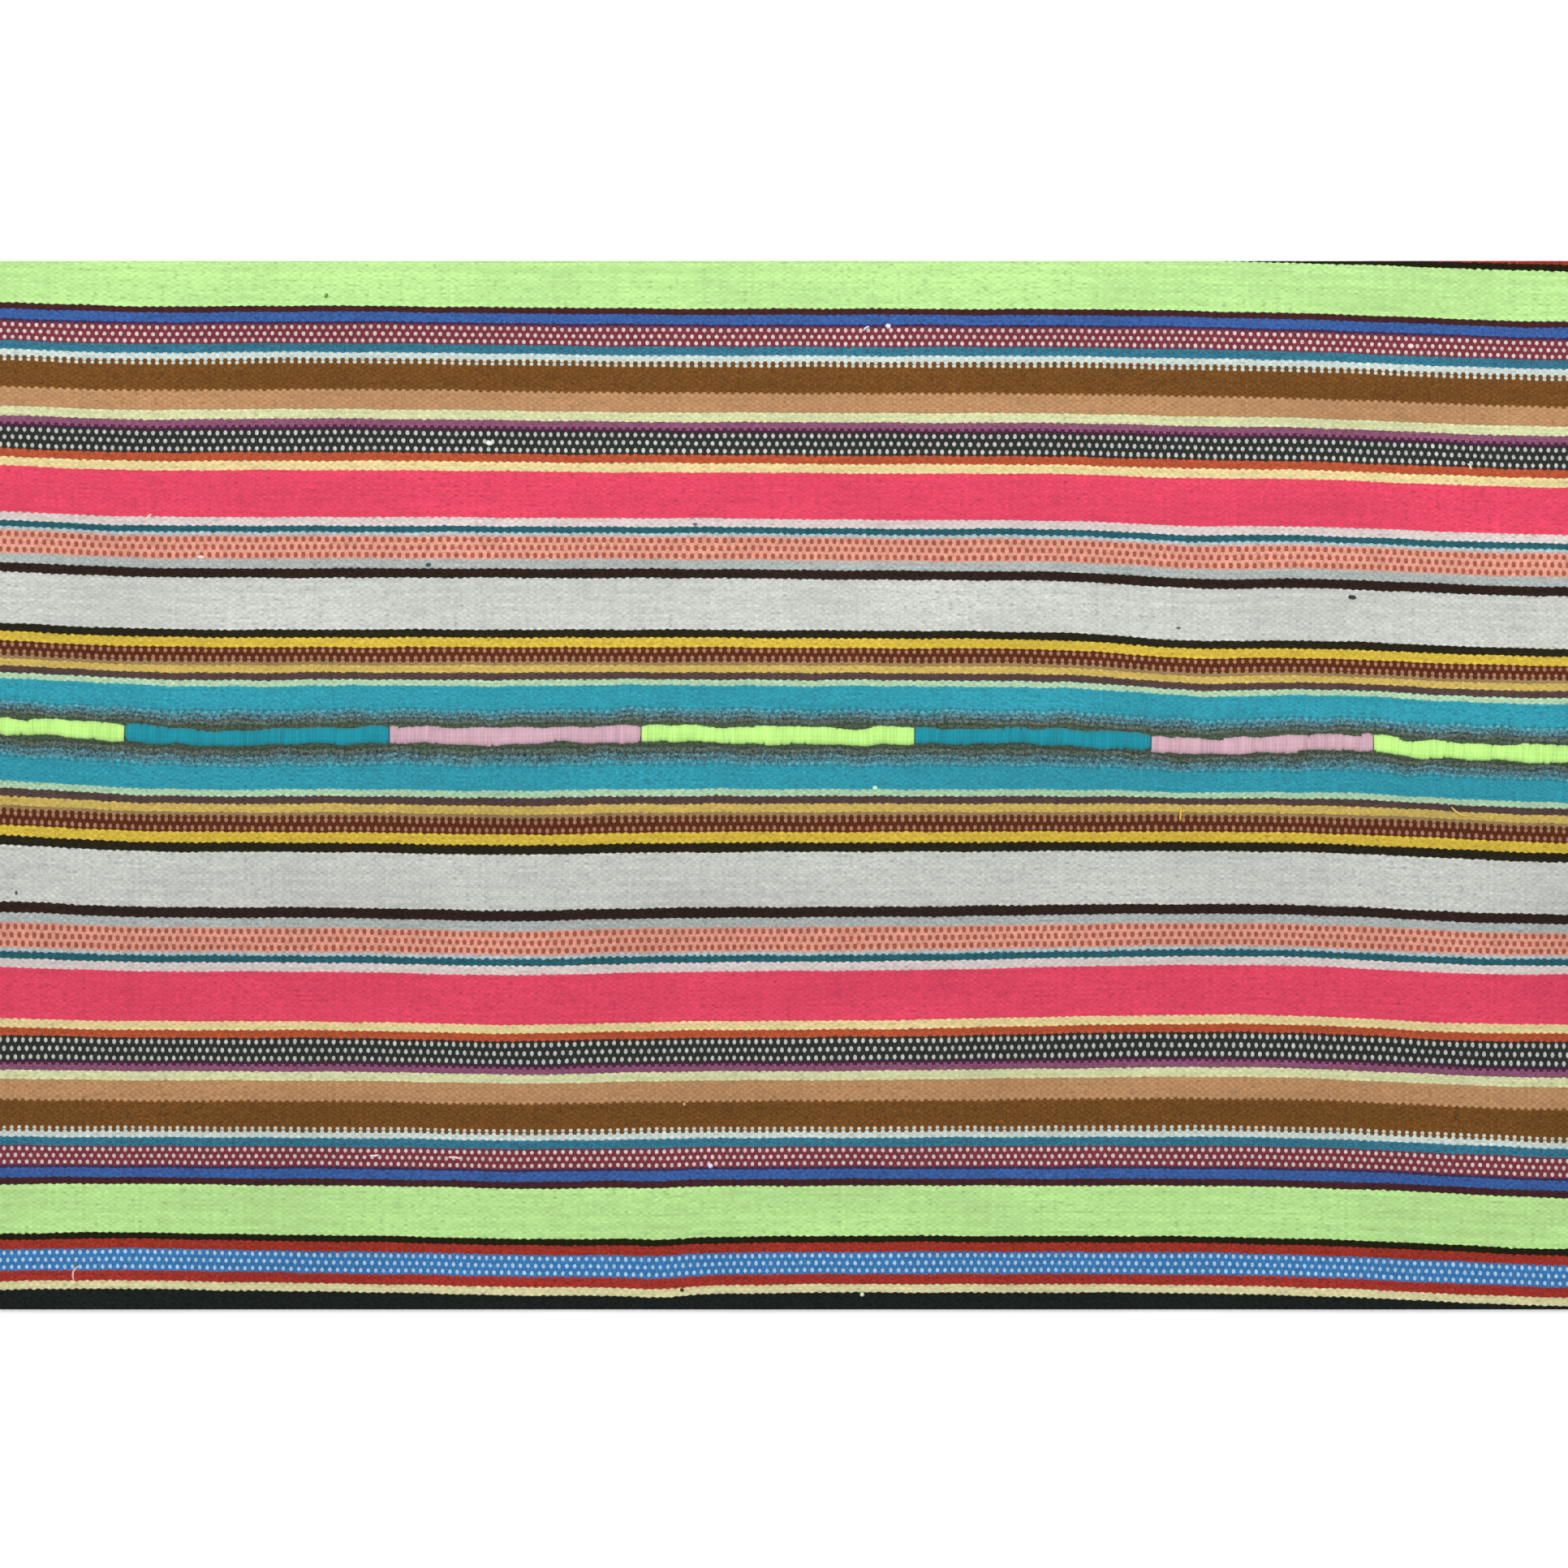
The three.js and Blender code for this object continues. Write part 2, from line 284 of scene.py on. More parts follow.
def weavePanel(name, side):
    # rows are ends and columns are picks: a point's place is its end's rest distance plus the wave,
    # its height rises and falls by turns from crossing to crossing, and the outer cut trims the rows
    widths, colours, swings, heathers = warpEnds(side)
    edges = np.concatenate([[0], np.cumsum(widths)])
    offset = np.concatenate([[0], (edges[:-1] + edges[1:]) / 2])
    endMark = np.concatenate([[0], np.arange(len(widths)) + 0.5])
    picks = weave["picks"][side]
    pickMark = np.concatenate([[0], np.arange(picks) + 0.5, [picks]])
    along = (pickMark / picks - 0.5) * clothLength
    inward = 1 - (2 * along / clothLength) ** 2
    wander = weave["pickUneven"] * np.sin(along / weave["pickWander"] + 2 * side)
    along = along + inward * (weave["pickDrift"][side] + wander)
    rest = join["straight"] + side * (join["gap"] + offset)
    across = rest + stripShift(side, along, rest)
    columns, rows = across.shape

    # the row nearest the cut is moved onto it in each column, and the rows past it are left out
    exact = np.array([np.interp(cutEdge[side], line, np.arange(rows)) for line in side * across])
    lastRow = np.round(exact).astype(int)
    column, row = np.arange(columns), np.arange(rows)
    across[column, lastRow] = side * cutEdge[side]
    ends = np.tile(endMark, (columns, 1))
    ends[column, lastRow] = np.interp(exact, row, endMark)
    kept = row <= lastRow[:, None]

    parity = (column[:, None] + row) % 2
    inner = (column[:, None] > 0) & (column[:, None] < columns - 1) & (row > 0)
    bead = np.where(inner, 0.5 - parity, 0) * weave["relief"]
    place = np.broadcast_to(along[:, None], across.shape)
    (midAlong, midAcross), (slowAlong, slowAcross) = weave["cockleWaves"]
    cockle = np.sin(place / midAlong + across / midAcross)
    cockle = cockle * np.sin(across / slowAcross + place / slowAlong + side)
    draw = np.clip(1 - offset / weave["seamDrawReach"], 0, 1) ** 2 * weave["seamDraw"]
    height = clothTop + bead + weave["cockle"] * cockle - draw
    index = np.cumsum(kept.ravel()).reshape(kept.shape) - 1
    top = np.stack([place[kept], across[kept], height[kept]], axis=1)

    # faces split along the pits, so that each float stands up as a bead of its own
    a, b = index[:-1, :-1], index[1:, :-1]
    d, c = index[:-1, 1:], index[1:, 1:]
    hasD, hasC = kept[:-1, 1:], kept[1:, 1:]
    whole = hasC & hasD
    up = whole & (parity[:-1, :-1] == 0)
    down = whole & (parity[:-1, :-1] == 1)
    picked = [(up, (a, b, d)), (up, (b, c, d)), (down, (a, b, c)), (down, (a, c, d)),
              (hasD & ~hasC & kept[1:, :-1], (a, b, d)), (hasC & ~hasD & kept[:-1, :-1], (a, b, c))]
    topFaces = np.concatenate([np.stack([k[mask] for k in keys], axis=1) for mask, keys in picked])
    cellRow = np.broadcast_to(row[:-1], whole.shape)
    topRows = np.concatenate([cellRow[mask] for mask, keys in picked])

    # the plain underside keeps every end's row but only some columns
    under = np.unique(np.append(np.arange(0, columns - 1, weave["underEvery"]), columns - 1))
    underKept = kept[under]
    underHeight = np.where(offset < weave["hollowReach"], weave["hollowHeight"], 0.0)
    underHeight = np.broadcast_to(underHeight, underKept.shape)
    underIndex = np.cumsum(underKept.ravel()).reshape(underKept.shape) - 1 + len(top)
    low = np.stack([place[under][underKept], across[under][underKept], underHeight[underKept]], axis=1)
    underFaces, underRows, wallFaces, wallRows = [], [], [], []
    for i, (left, right) in enumerate(zip(under[:-1], under[1:])):
        leftEnd, rightEnd = lastRow[left], lastRow[right]
        shared = min(leftEnd, rightEnd)
        leftLine, rightLine = underIndex[i], underIndex[i + 1]
        underFaces.append(np.stack([leftLine[:shared], leftLine[1:shared + 1],
                                    rightLine[1:shared + 1], rightLine[:shared]], axis=1))
        underRows.append(row[:shared])
        rim = [*leftLine[shared:leftEnd + 1], *rightLine[shared:rightEnd + 1][::-1]]
        if len(rim) > 2:
            underFaces.append([rim])
            underRows.append([shared - 1])
        span = np.arange(left, right + 1)
        selvedge = [*index[span, 0][::-1], leftLine[0], rightLine[0]]
        cut = [*index[span, lastRow[span]], rightLine[rightEnd], leftLine[leftEnd]]
        wallFaces += [[selvedge], [cut]]
        wallRows += [[0], [shared - 1]]
    for line, underLine, last, turn in ((index[0], underIndex[0], lastRow[0], 1),
                                        (index[-1], underIndex[-1], lastRow[-1], -1)):
        ring = np.stack([line[:last], line[1:last + 1], underLine[1:last + 1], underLine[:last]], axis=1)
        wallFaces.append(ring[:, ::turn])
        wallRows.append(row[:last])

    groups = [topFaces, *underFaces, *wallFaces]
    if side < 0:
        groups = [np.asarray(group)[:, ::-1] for group in groups]
    piece, corners, counts = makePiece(name, np.vstack([top, low]), groups, len(topFaces))

    # each corner knows its pick and end, and each face the yarns of its even and its odd end
    pickMark = pickMark + weave["firstPick"][side]
    marks = np.stack([np.broadcast_to(pickMark[:, None], kept.shape)[kept], ends[kept]], axis=1)
    lowMarks = np.stack([np.broadcast_to(pickMark[under][:, None], underKept.shape)[underKept],
                         ends[under][underKept]], axis=1)
    setCornerUv(piece.data, "weave", np.vstack([marks, lowMarks])[corners])
    faceRow = np.concatenate([topRows, *underRows, *wallRows])
    even = np.clip(faceRow - faceRow % 2, 0, len(colours) - 1)
    odd = np.clip(faceRow - 1 + faceRow % 2, 0, len(colours) - 1)
    setCorners(piece.data, "evenYarn", "FLOAT_COLOR", np.repeat(colours[even], counts, axis=0))
    setCorners(piece.data, "oddYarn", "FLOAT_COLOR", np.repeat(colours[odd], counts, axis=0))
    setCorners(piece.data, "swing", "FLOAT", np.repeat(np.minimum(swings[even], swings[odd]), counts))
    setCorners(piece.data, "heather", "FLOAT", np.repeat((heathers[even] + heathers[odd]) / 2, counts))
    return piece


# Cut yarn at both ends of a strip: upper and lower ends by turns, each a short soft stub
stub = {
    "root": 0.9,          # mm that a stub starts inside the cloth
    "reach": (0.25, 1.1),
    "heights": (1.6, 0.8),
    "halfHeight": 0.55,
    "fullness": 0.52,     # half-width as a share of the end's width
    "taper": 0.86,        # how much of its section is lost at the tip
    "lean": 0.18,         # mm that tips stray sideways
    "clear": 0.4,         # mm from the last stub's middle to the outer cut
    "rings": 4,
    "sides": 6,
}


def cutStubs(name, side):
    # each stub is an oval tube along the warp that narrows to its tip, one to an end
    widths, colours = warpEnds(side)[:2]
    offset = np.cumsum(widths) - widths / 2
    rest = join["straight"] + side * (join["gap"] + offset)
    run = np.linspace(0, 1, stub["rings"])
    taper = np.sqrt(1 - stub["taper"] * run**2)[:, None]
    phi = np.arange(stub["sides"]) * 2 * math.pi / stub["sides"]
    points, shades = [], []
    for toward in (-1, 1):
        edge = toward * clothLength / 2
        across = rest + stripShift(side, np.array([edge]), rest)[0]
        kept = side * across < cutEdge[side] - stub["clear"]
        count = int(kept.sum())
        reach = random.uniform(*stub["reach"], count)[:, None, None]
        lean = random.normal(0, stub["lean"], count)[:, None, None]
        middle = np.where(np.arange(count) % 2 == 0, *stub["heights"])[:, None, None]
        halfWidth = (widths[kept] * stub["fullness"])[:, None, None]
        x = edge + toward * (run[:, None] * (reach + stub["root"]) - stub["root"]) + 0 * phi
        y = across[kept][:, None, None] + lean * run[:, None] + halfWidth * taper * np.cos(phi)
        z = middle + stub["halfHeight"] * taper * np.sin(phi) * toward
        points.append(np.stack([x, y, z], axis=-1).reshape(-1, 3))
        shades.append(colours[kept])
    points, shades = np.vstack(points), np.vstack(shades)
    groups = tubeFaces(len(shades), stub["rings"], stub["sides"])
    piece, corners = makePiece(name, points, groups, len(groups[0]))[:2]
    setCorners(piece.data, "dye", "FLOAT_COLOR", shades[corners // (stub["rings"] * stub["sides"])])
    return piece


# Knots of loose fibre caught in the weave: along, rest place across, length, breadth and dye
slub = {
    "spots": [
        (262, 92.1, 2.6, 1.7, "3c3d35"), (48, 211.7, 1.9, 2.0, "f6e8f4"),
        (289, 206.6, 2.2, 1.9, "fbe6dc"), (-164, 101.4, 1.8, 1.5, "38505a"),
        (36, -234.9, 1.5, 1.7, "d6e6c8"), (42, -1.3, 1.9, 1.7, "c8ffe6"),
        (-47, -231.2, 1.4, 1.5, "4a340c"), (-269, 104.8, 2.6, 1.5, "f6dcd0"),
        (-354, -52.3, 0.9, 1.6, "53564e"), (-211, 224.4, 1.2, 1.8, "6a9a42"),
        (-41, 120.2, 1.5, 1.1, "6c757e"), (-46, -146.8, 1.2, 1.4, "c0a078"),
        (182, 77.4, 1.5, 1.1, "72726c"), (-136, 156.9, 2.4, 2.0, "f4f6f0"),
        (-34, -175.2, 1.9, 1.9, "e6d8ff"),
    ],
    "fluff": 1.25,           # loose fibre round each knot, as a share of its size
    "height": 0.6,
    "sit": 0.15,             # mm that its middle lies above the cloth
    "lumpiness": 0.16,
    "poleGap": 0.12,         # radians that a small cap closes at both ends
    "rings": 6,
    "sides": 8,
}


def fibreKnots(name):
    # each knot is a flattened round whose radius is ruffled by two sines of different count
    along, rest, length, breadth = np.array([spot[:4] for spot in slub["spots"]]).T
    length, breadth = length * slub["fluff"], breadth * slub["fluff"]
    across = onStrip(along, rest)
    theta = np.linspace(slub["poleGap"], math.pi - slub["poleGap"], slub["rings"])[:, None]
    phi = np.arange(slub["sides"]) * 2 * math.pi / slub["sides"]
    seat = np.arange(len(along))[:, None, None]
    ruffle = np.sin(3 * phi + 2 * theta + seat) + np.sin(2 * phi - 5 * theta + 2 * seat)
    ruffle = 1 + slub["lumpiness"] * ruffle
    x = along[:, None, None] - length[:, None, None] / 2 * np.cos(theta) * ruffle
    y = across[:, None, None] + breadth[:, None, None] / 2 * np.sin(theta) * np.cos(phi) * ruffle
    z = clothTop + slub["sit"] + slub["height"] * np.sin(theta) * np.sin(phi) * ruffle
    points = np.stack([x, y, z], axis=-1).reshape(-1, 3)
    groups = tubeFaces(len(along), slub["rings"], slub["sides"])
    piece, corners = makePiece(name, points, groups, sum(len(group) for group in groups))[:2]
    dyes = np.array([(*hexLinear(spot[4]), 1) for spot in slub["spots"]])
    setCorners(piece.data, "dye", "FLOAT_COLOR", dyes[corners // (slub["rings"] * slub["sides"])])
    return piece


# Loose threads lying on the cloth: along, rest place across, length, heading in degrees, bow and dye
thread = {
    "lying": [
        (-293, 122.4, 4.4, 52, 0.5, "f6dcc8"), (-326, -226.7, 7.8, -108, -1.8, "e8b8a8"),
        (316, 152.5, 3.2, -60, 0.4, "f3e6d0"), (38, 210.6, 3.6, 35, 0.4, "dde4f0"),
        (-152, -171.0, 5.8, -6, 0.3, "f6d8d0"), (-189, -170.2, 4.2, 4, -0.3, "f4e4e0"),
        (312, -8.3, 9.6, -26, -1.2, "ddc060"), (183, -13.6, 6.2, 84, 0.2, "e8bc3c"),
    ],
    "halfWidth": 0.5,
    "halfHeight": 0.32,
    "taper": 0.8,         # how much of its section is lost at both ends
    "sit": 0.3,           # mm that its middle lies above the cloth
    "sink": 0.5,          # mm that both ends dip into the weave
    "rings": 9,
    "sides": 6,
}


def looseThreads(name):
    # each thread is an oval tube along a bowed line that rises out of the weave and dips in again
    along, rest, length, heading, bow = np.array([row[:5] for row in thread["lying"]]).T
    across = onStrip(along, rest)
    t = np.linspace(-1, 1, thread["rings"])[:, None]
    phi = np.arange(thread["sides"]) * 2 * math.pi / thread["sides"]
    turn = np.radians(heading)[:, None, None]
    full = np.sqrt(1 - thread["taper"] * t**4)
    onward = length[:, None, None] / 2 * t + 0 * phi
    aside = bow[:, None, None] * (1 - t**2) + thread["halfWidth"] * full * np.cos(phi)
    x = along[:, None, None] + onward * np.cos(turn) - aside * np.sin(turn)
    y = across[:, None, None] + onward * np.sin(turn) + aside * np.cos(turn)
    z = clothTop + thread["sit"] - thread["sink"] * t**6
    z = z + thread["halfHeight"] * full * np.sin(phi) + 0 * x
    points = np.stack([x, y, z], axis=-1).reshape(-1, 3)
    groups = tubeFaces(len(along), thread["rings"], thread["sides"])
    piece, corners = makePiece(name, points, groups, len(groups[0]))[:2]
    dyes = np.array([(*hexLinear(row[5]), 1) for row in thread["lying"]])
    setCorners(piece.data, "dye", "FLOAT_COLOR", dyes[corners // (thread["rings"] * thread["sides"])])
    return piece


# The seam: turns of yarn over both selvedges, down through the cloth and back underneath. Waves are
# given as the mm along to one radian
seam = {
    "pitch": 1.6,         # mm from one turn to the next
    "pitchUneven": 0.06,
    "reach": (3.4, 3.75),  # from the middle to the far and the near side
    "reachUneven": 0.13,
    "reachWave": 0.3,     # slow swell and shrink of the band
    "reachWaves": (9.1, 3.4),
    "reachPhase": 6,      # radians within which the swell of a run may start
    "reachStep": (0.1, 0.32),  # how often a fresh group of turns starts, and how far it is off
    "pulled": (0.05, 0.65),  # share of turns that are drawn tight, and by how many mm
    "shoulder": 0.4,      # mm that the band narrows at the ends of a run
    "shoulderReach": 1.0,
    "shoulderDip": 0.4,   # how much of that it also sinks
    "sway": 0.3,          # mm that the band wanders off the selvedges
    "swayWaves": (6.1, 19),
    "slant": 0.5,
    "slantSpread": (0.4, 0.4),  # mean and spread of the turns' slants
    "crown": 3.5,
    "crownUneven": 0.1,
    "low": 0.4,
    "squareness": (0.62, 0.68),  # powers across and up, 1 for a round loop and less for a boxy one
    "halfWidth": 1.5,     # flattened yarn, wider than the pitch, so that neighbours press together
    "sectionShare": 0.87,  # share of it that the six-sided section reaches
    "halfHeight": 0.5,
    "underShare": 0.6,    # how much of that is left where the yarn is squeezed underneath
    "underFrom": -0.2,    # sine of the angle at which that starts
    "toneSpread": (0.5, 0.2),  # mean and spread of the turns' tones
    "around": 10,
    "section": 6,
    "runs": [("seam_lime_1", "lime"), ("seam_teal_1", "teal"), ("seam_pink_1", "pink"),
             ("seam_lime_2", "lime"), ("seam_teal_2", "teal"), ("seam_pink_2", "pink"),
             ("seam_lime_3", "lime")],
}


def sewRun(name):
    # every turn is a ring on a rounded box in the seam's cross-section, and its yarn an oval round it
    low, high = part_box(name)
    start, end = low[0] / mm, high[0] / mm
    turns = round((end - start) / seam["pitch"])
    along = start + (np.arange(turns) + 0.5) * (end - start) / turns
    along = along + random.normal(0, seam["pitchUneven"], turns)
    inset = seam["halfWidth"] * seam["sectionShare"]
    along = np.clip(along, start + inset, end - inset)
    swell = 0
    for wave in seam["reachWaves"]:
        phase = random.uniform(0, seam["reachPhase"], (2, 1))
        swell = swell + seam["reachWave"] * np.sin(along / wave + phase)
    toEnd = np.minimum(along - start, end - along) - inset
    shoulder = np.exp(-toEnd / seam["shoulderReach"]) * seam["shoulder"]
    reaches = np.array(seam["reach"])[:, None] + swell - shoulder
    reaches = reaches + random.normal(0, seam["reachUneven"], (2, turns))
    group = np.cumsum(random.uniform(0, 1, (2, turns)) < seam["reachStep"][0], axis=1)
    groupOff = random.normal(0, seam["reachStep"][1], (2, turns))
    reaches = reaches + np.take_along_axis(groupOff, group, axis=1)
    isPulled = random.uniform(0, 1, (2, turns)) < seam["pulled"][0]
    reaches = reaches - seam["pulled"][1] * isPulled
    crown = seam["crown"] - seam["shoulderDip"] * shoulder + random.normal(0, seam["crownUneven"], turns)
    slant = seam["slant"] * random.normal(*seam["slantSpread"], turns)
    theta = np.arange(seam["around"]) * 2 * math.pi / seam["around"]
    phi = np.arange(seam["section"]) * 2 * math.pi / seam["section"]
    wide = np.sign(np.cos(theta)) * np.abs(np.cos(theta)) ** seam["squareness"][0]
    tall = np.sign(np.sin(theta)) * np.abs(np.sin(theta)) ** seam["squareness"][1]
    reach = np.where(wide > 0, reaches[0][:, None], reaches[1][:, None])
    pathAlong = along[:, None] + slant[:, None] * wide / 2
    midSway, slowSway = seam["swayWaves"]
    sway = seam["sway"] * np.sin(along / midSway) * np.sin(along / slowSway)
    pathAcross = (seamAt(along) + sway)[:, None] + wide * reach
    pathHeight = (crown + seam["low"])[:, None] / 2 + tall * (crown - seam["low"])[:, None] / 2
    squeeze = np.where(np.sin(theta) > seam["underFrom"], 1, seam["underShare"])
    lift = (seam["halfHeight"] * squeeze)[:, None] * np.cos(phi)
    x = pathAlong[:, :, None] + seam["halfWidth"] * np.sin(phi)
    y = pathAcross[:, :, None] + np.cos(theta)[:, None] * lift
    z = np.maximum(pathHeight[:, :, None] + np.sin(theta)[:, None] * lift, 0)
    steps, sides = seam["around"], seam["section"]
    ring = np.arange(turns * steps * sides).reshape(turns, steps, sides)
    ahead, turned = np.roll(ring, -1, axis=1), np.roll(ring, -1, axis=2)
    faces = np.stack([ring, ahead, np.roll(ahead, -1, axis=2), turned], axis=-1).reshape(-1, 4)
    points = np.stack([np.clip(x, start, end), y, z], axis=-1).reshape(-1, 3)
    piece = makePiece(name + "_turns", points, [faces], len(faces))[0]
    cell = np.arange(len(faces))
    step, side = cell // sides % steps, cell % sides
    u = np.stack([step, step + 1, step + 1, step], axis=1) / steps
    v = np.stack([side, side, side + 1, side + 1], axis=1) / sides
    setCornerUv(piece.data, "yarn", np.stack([u.ravel(), v.ravel()], axis=1))
    turnTone = random.normal(*seam["toneSpread"], turns)
    setCorners(piece.data, "turnTone", "FLOAT", np.repeat(turnTone, steps * sides * 4))
    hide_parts(name)
    return piece


def bareMaterial(name):
    # a material with an empty node tree
    material = bpy.data.materials.new(name)
    material.use_nodes = True
    material.node_tree.nodes.clear()
    return material, material.node_tree


# Look of the woven wool. Sizes are mm along and across the cloth, tones are shares of the dye, and a
# range is given as its low and high end and the values there
dyedWool = {
    "pickPitch": 1.8,        # mean mm between picks, and between ends, to turn sizes to weave steps
    "endPitch": 1.17,
    "jitterSize": (3.6, 1.3),  # thick and thin places in hand-spun yarn
    "jitter": 1.3,           # how far they move the edge of a float
    "fibreSize": 1.0,        # heather, drawn at 1 mm so that it shows
    "raggedness": 0.5,       # how far loose hairs carry a dye over that edge
    "softness": 0.3,         # and how gently it fades there
    "streakSize": 16.36,     # deeper and paler stretches of one end
    "streakApart": 7.3,      # how unlike the streaks of neighbours are
    "patchSize": (90, 29.25),
    "speckSize": (3.0, 1.17),  # short dark hairs along the warp
    "speckPatches": 0.3,     # how much thicker they lie in some patches
    "tone": 0.62,            # the least tone, to which the next five add
    "endTone": 0.08,
    "pickTone": 0.05,
    "floatTone": 0.1,
    "streakTone": 0.26,
    "patchTone": 0.3,
    # painted shade: darker down in the pits between floats, and a faint painted highlight on the crests
    "pitShade": (-0.4, 0.2, 0.84, 1.03),
    "hairs": (0.8, 1.04, 1.0, 0.76),
    "roughness": (-0.6, 0.6, 0.98, 0.86),
    "fuzz": 0.4,             # share of fibre in the bump
    "bump": 0.6,
    "bumpDepth": 0.2,
}


def weaveStep(size):
    # mm along and across, as the share of a pattern that one pick and one end take
    return dyedWool["pickPitch"] / size[0], dyedWool["endPitch"] / size[1], 0


def woolCloth(name):
    # warp-faced plain weave of dyed wool: matte round floats in staggered bricks, each end a little off
    # its neighbours in tone, with specks of dark hair, painted shade in the soft pits between the floats
    # and a faint painted highlight on their crests
    look = dyedWool
    material, tree = bareMaterial(name)
    mark = addNode(tree, "UVMap", {}, uv_map="weave")
    pick = addNode(tree, "SeparateXYZ", {0: mark})
    end = pick.node.outputs[1]
    evenYarn = addNode(tree, "Attribute", {}, attribute_name="evenYarn")
    oddYarn = addNode(tree, "Attribute", {}, attribute_name="oddYarn")
    swing = addNode(tree, "Attribute", {}, out="Fac", attribute_name="swing")

    # a float is a sine over the picks with its back rounded by a square root
    phase = addNode(tree, "Math", {0: pick, 1: math.pi}, operation="MULTIPLY")
    wave = addNode(tree, "Math", {0: phase}, operation="SINE")
    size = addNode(tree, "Math", {0: wave}, operation="ABSOLUTE")
    rounding = addNode(tree, "Math", {0: size}, operation="INVERSE_SQRT")
    wave = addNode(tree, "Math", {0: wave, 1: rounding}, operation="MULTIPLY")
    rise = addNode(tree, "Math", {0: wave, 1: swing}, operation="MULTIPLY")
    fall = addNode(tree, "Math", {0: 0.0, 1: rise}, operation="SUBTRACT")

    # nearest even and nearest odd end, counted in pairs from a quarter pair before or after: the one
    # that stands higher at this point is the one that shows
    heights, numbers = [], []
    for quarter, first, lift, yarn in ((0.25, 0.0, rise, evenYarn), (-0.25, 1.0, fall, oddYarn)):
        pair = addNode(tree, "Math", {0: end, 1: 0.5, 2: quarter}, operation="MULTIPLY_ADD")
        part = addNode(tree, "Math", {0: pair}, operation="FRACT")
        whole = addNode(tree, "Math", {0: pair, 1: part}, operation="SUBTRACT")
        numbers.append(addNode(tree, "Math", {0: whole, 1: 2.0, 2: first}, operation="MULTIPLY_ADD"))
        off = addNode(tree, "Math", {0: part, 1: 2.0, 2: -1.0}, operation="MULTIPLY_ADD")
        thin = yarn.node.outputs["Alpha"]
        drop = addNode(tree, "Math", {0: off, 1: off, 2: thin}, operation="MULTIPLY_ADD")
        heights.append(addNode(tree, "Math", {0: lift, 1: drop}, operation="SUBTRACT"))
    height = addNode(tree, "Math", {0: heights[0], 1: heights[1]}, operation="MAXIMUM")

    # some jitter goes in, because hand-spun yarn is thick and thin
    jitterPlace = addNode(tree, "VectorMath", {0: mark, 1: weaveStep(look["jitterSize"])},
                          operation="MULTIPLY")
    jitter = addNode(tree, "TexNoise", {"Vector": jitterPlace, "Scale": 1.0, "Detail": 1.0},
                     noise_dimensions="2D")
    lead = addNode(tree, "Math", {0: heights[0], 1: heights[1]}, operation="SUBTRACT")
    lead = addNode(tree, "Math", {0: jitter, 1: look["jitter"], 2: lead}, operation="MULTIPLY_ADD")
    showsEven = addNode(tree, "Math", {0: lead, 1: look["jitter"] / 2}, operation="GREATER_THAN")
    number = addNode(tree, "Mix", {0: showsEven, 2: numbers[1], 3: numbers[0]}, data_type="FLOAT")

    # wool is hairy, so where two dyes meet they blend over a ragged edge
    place = addNode(tree, "TexCoord", {}, out="Object")
    fibres = addNode(tree, "TexNoise", {
        "Vector": place, "Scale": 1 / (look["fibreSize"] * mm), "Detail": 1.0})
    ragged = addNode(tree, "Math", {0: fibres, 1: look["raggedness"], 2: lead}, operation="MULTIPLY_ADD")
    middle = (look["jitter"] + look["raggedness"]) / 2
    fade = (middle - look["softness"], middle + look["softness"], 0.0, 1.0)
    blend = addNode(tree, "MapRange", [ragged, *fade])
    yarn = addNode(tree, "Mix", {0: blend, 6: oddYarn, 7: evenYarn}, out=2, data_type="RGBA")

    # tone: by end, pick and float, with slow streaks along each end and wide patches
    endTone = addNode(tree, "TexWhiteNoise", {"W": number}, noise_dimensions="1D")
    pickNumber = addNode(tree, "Math", {0: pick}, operation="FLOOR")
    pickTone = addNode(tree, "TexWhiteNoise", {"W": pickNumber}, noise_dimensions="1D")
    floatPlace = addNode(tree, "CombineXYZ", {0: pickNumber, 1: number})
    floatTone = addNode(tree, "TexWhiteNoise", {"Vector": floatPlace}, noise_dimensions="2D")
    farApart = addNode(tree, "Math", {0: number, 1: look["streakApart"]}, operation="MULTIPLY")
    streakPlace = addNode(tree, "CombineXYZ", {0: pick, 1: farApart})
    streak = addNode(tree, "TexNoise", {
        "Vector": streakPlace, "Scale": look["pickPitch"] / look["streakSize"], "Detail": 1.0},
        noise_dimensions="2D")
    patchPlace = addNode(tree, "VectorMath", {0: mark, 1: weaveStep(look["patchSize"])},
                         operation="MULTIPLY")
    patch = addNode(tree, "TexNoise", {"Vector": patchPlace, "Scale": 1.0, "Detail": 1.0},
                    noise_dimensions="2D")
    tone = look["tone"]
    for part, share in ((endTone, look["endTone"]), (pickTone, look["pickTone"]),
                        (floatTone, look["floatTone"]), (streak, look["streakTone"]),
                        (patch, look["patchTone"])):
        tone = addNode(tree, "Math", {0: part, 1: share, 2: tone}, operation="MULTIPLY_ADD")
